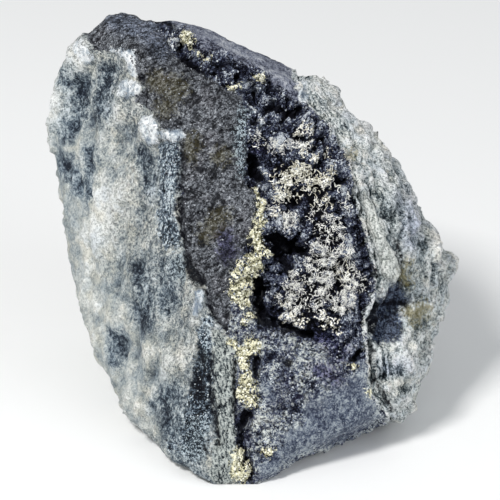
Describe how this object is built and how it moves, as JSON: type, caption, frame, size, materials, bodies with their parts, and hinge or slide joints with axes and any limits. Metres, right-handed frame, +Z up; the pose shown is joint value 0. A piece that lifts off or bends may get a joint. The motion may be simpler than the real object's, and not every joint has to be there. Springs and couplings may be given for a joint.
{
  "type": "silver ore specimen",
  "caption": "Hand-sized lump of vein rock with wiry native silver, broken flat underneath so that it stands by itself as a specimen or scenery stone.",
  "frame": {"origin": "middle of the bounding box, at the flat broken base that the lump rests on", "axes": "+Z up, -Y out of the broken front face that shows the silver vein (the face leans back), +X to the right of a person looking at that face"},
  "size_m": [0.0698, 0.0628, 0.065],
  "materials": {
    "host_rock": "rough broken grey-white schist and quartz",
    "native_silver": "fine tarnished wires with bright tips",
    "vein_ore": "dark sooty ore grains",
    "pale_crust": "dull crumbly cream crust",
    "quartz": "cloudy white crystal lumps"
  },
  "bodies": {
    "root": {"ore_stone": "host_rock"}
  },
  "joints": []
}
